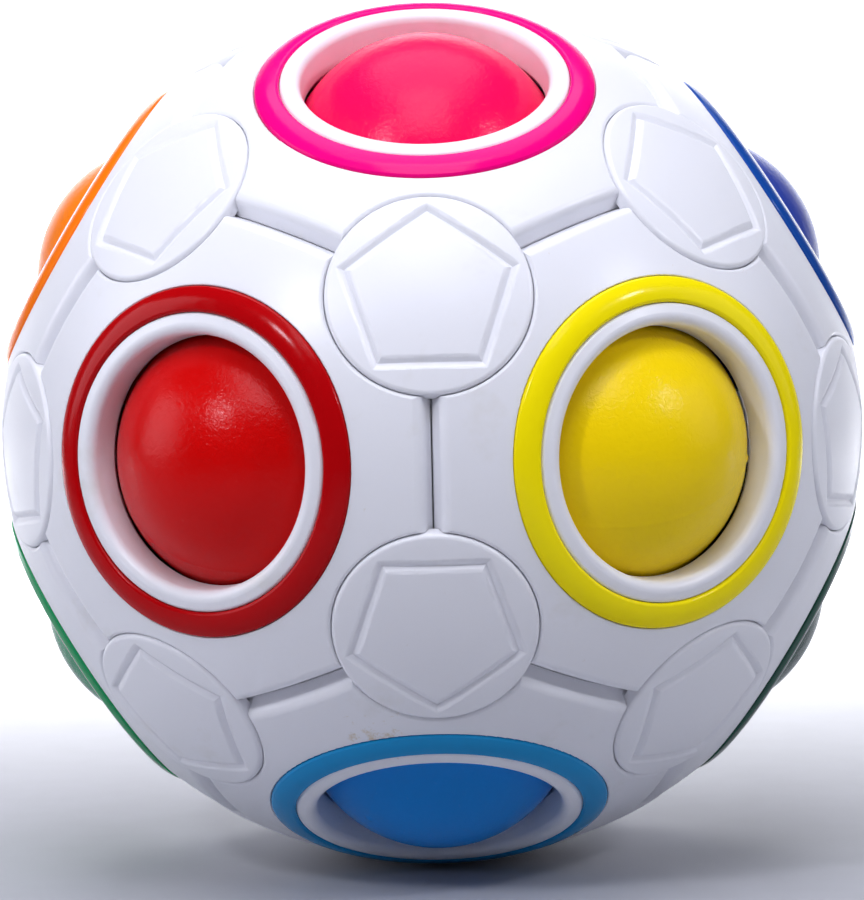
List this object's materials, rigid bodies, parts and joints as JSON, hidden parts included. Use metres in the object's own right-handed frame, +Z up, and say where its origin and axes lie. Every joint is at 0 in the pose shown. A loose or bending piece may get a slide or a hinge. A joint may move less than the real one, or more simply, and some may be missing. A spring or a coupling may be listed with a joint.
{
  "type": "ball-shifting puzzle ball",
  "caption": "Hollow puzzle ball of pentagonal panels with round mouths and coloured rings; loose coloured balls press inwards and roll to the empty mouth.",
  "frame": {"origin": "centre of the sphere, which is the centre of its bounding box", "axes": "+Z up; -Y is the front, where two mouths lie side by side; +X to the right seen from the front"},
  "size_m": [0.065, 0.065, 0.065],
  "materials": {
    "shell_white": "moulded white ABS with a soft satin gloss",
    "inner_white": "natural white moulded plastic, as moulded",
    "ring_red": "red moulded ABS, semi-gloss",
    "ring_yellow": "yellow moulded ABS, semi-gloss",
    "ring_pink": "pink moulded ABS, semi-gloss",
    "ring_light_blue": "light blue moulded ABS, semi-gloss",
    "ring_orange": "orange moulded ABS, semi-gloss",
    "ring_dark_blue": "dark blue moulded ABS, semi-gloss",
    "ring_green": "green moulded ABS, semi-gloss",
    "ring_dark_green": "dark green moulded ABS, semi-gloss",
    "ring_purple": "purple moulded ABS, semi-gloss",
    "ring_lime": "lime moulded ABS, semi-gloss",
    "ring_grey": "grey moulded ABS, semi-gloss",
    "ring_white": "white moulded ABS, semi-gloss",
    "ball_red": "red moulded plastic, satin with a fine orange-peel texture",
    "ball_yellow": "yellow moulded plastic, satin with a fine orange-peel texture",
    "ball_pink": "pink moulded plastic, satin with a fine orange-peel texture",
    "ball_light_blue": "light blue moulded plastic, satin with a fine orange-peel texture",
    "ball_orange": "orange moulded plastic, satin with a fine orange-peel texture",
    "ball_dark_blue": "dark blue moulded plastic, satin with a fine orange-peel texture",
    "ball_green": "green moulded plastic, satin with a fine orange-peel texture",
    "ball_dark_green": "dark green moulded plastic, satin with a fine orange-peel texture",
    "ball_purple": "purple moulded plastic, satin with a fine orange-peel texture",
    "ball_lime": "lime moulded plastic, satin with a fine orange-peel texture",
    "ball_grey": "grey moulded plastic, satin with a fine orange-peel texture"
  },
  "bodies": {
    "shell": {"corner_cap_01": "shell_white", "corner_cap_02": "shell_white", "corner_cap_03": "shell_white", "corner_cap_04": "shell_white", "corner_cap_05": "shell_white", "corner_cap_06": "shell_white", "corner_cap_07": "shell_white", "corner_cap_08": "shell_white", "corner_cap_09": "shell_white", "corner_cap_10": "shell_white", "corner_cap_11": "shell_white", "corner_cap_12": "shell_white", "corner_cap_13": "shell_white", "corner_cap_14": "shell_white", "corner_cap_15": "shell_white", "corner_cap_16": "shell_white", "corner_cap_17": "shell_white", "corner_cap_18": "shell_white", "corner_cap_19": "shell_white", "corner_cap_20": "shell_white", "corner_clamps": "inner_white", "panel_dark_blue": "shell_white", "panel_dark_green": "shell_white", "panel_green": "shell_white", "panel_grey": "shell_white", "panel_light_blue": "shell_white", "panel_lime": "shell_white", "panel_orange": "shell_white", "panel_pink": "shell_white", "panel_purple": "shell_white", "panel_red": "shell_white", "panel_white": "shell_white", "panel_yellow": "shell_white", "ring_dark_blue": "ring_dark_blue", "ring_dark_green": "ring_dark_green", "ring_green": "ring_green", "ring_grey": "ring_grey", "ring_light_blue": "ring_light_blue", "ring_lime": "ring_lime", "ring_orange": "ring_orange", "ring_pink": "ring_pink", "ring_purple": "ring_purple", "ring_red": "ring_red", "ring_white": "ring_white", "ring_yellow": "ring_yellow"},
    "ball_red": {"ball_red": "ball_red"},
    "ball_yellow": {"ball_yellow": "ball_yellow"},
    "ball_pink": {"ball_pink": "ball_pink"},
    "ball_light_blue": {"ball_light_blue": "ball_light_blue"},
    "ball_orange": {"ball_orange": "ball_orange"},
    "ball_dark_blue": {"ball_dark_blue": "ball_dark_blue"},
    "ball_green": {"ball_green": "ball_green"},
    "ball_dark_green": {"ball_dark_green": "ball_dark_green"},
    "ball_purple": {"ball_purple": "ball_purple"},
    "ball_lime": {"ball_lime": "ball_lime"},
    "ball_grey": {"ball_grey": "ball_grey"},
    "core": {"core_lower": "inner_white", "core_upper": "inner_white"}
  },
  "joints": [
    {"name": "press_red", "type": "slide", "parent": "shell", "child": "ball_red", "axis": [-0.5257, -0.8507, 0], "range_m": [-0.0016, 0.0003]},
    {"name": "press_yellow", "type": "slide", "parent": "shell", "child": "ball_yellow", "axis": [0.5257, -0.8507, 0], "range_m": [-0.0016, 0.0003]},
    {"name": "press_pink", "type": "slide", "parent": "shell", "child": "ball_pink", "axis": [0, -0.5257, 0.8507], "range_m": [-0.0016, 0.0003]},
    {"name": "press_light_blue", "type": "slide", "parent": "shell", "child": "ball_light_blue", "axis": [0, -0.5257, -0.8507], "range_m": [-0.0016, 0.0003]},
    {"name": "press_orange", "type": "slide", "parent": "shell", "child": "ball_orange", "axis": [-0.8507, 0, 0.5257], "range_m": [-0.0016, 0.0003]},
    {"name": "press_dark_blue", "type": "slide", "parent": "shell", "child": "ball_dark_blue", "axis": [0.8507, 0, 0.5257], "range_m": [-0.0016, 0.0003]},
    {"name": "press_green", "type": "slide", "parent": "shell", "child": "ball_green", "axis": [-0.8507, 0, -0.5257], "range_m": [-0.0016, 0.0003]},
    {"name": "press_dark_green", "type": "slide", "parent": "shell", "child": "ball_dark_green", "axis": [0.8507, 0, -0.5257], "range_m": [-0.0016, 0.0003]},
    {"name": "press_purple", "type": "slide", "parent": "shell", "child": "ball_purple", "axis": [-0.5257, 0.8507, 0], "range_m": [-0.0016, 0.0003]},
    {"name": "press_lime", "type": "slide", "parent": "shell", "child": "ball_lime", "axis": [0, 0.5257, 0.8507], "range_m": [-0.0016, 0.0003]},
    {"name": "press_grey", "type": "slide", "parent": "shell", "child": "ball_grey", "axis": [0, 0.5257, -0.8507], "range_m": [-0.0016, 0.0003]},
    {"name": "core_turn", "type": "hinge", "parent": "shell", "child": "core", "pos_m": [0, 0, 0], "axis": [0, 0, 1], "continuous": true}
  ]
}
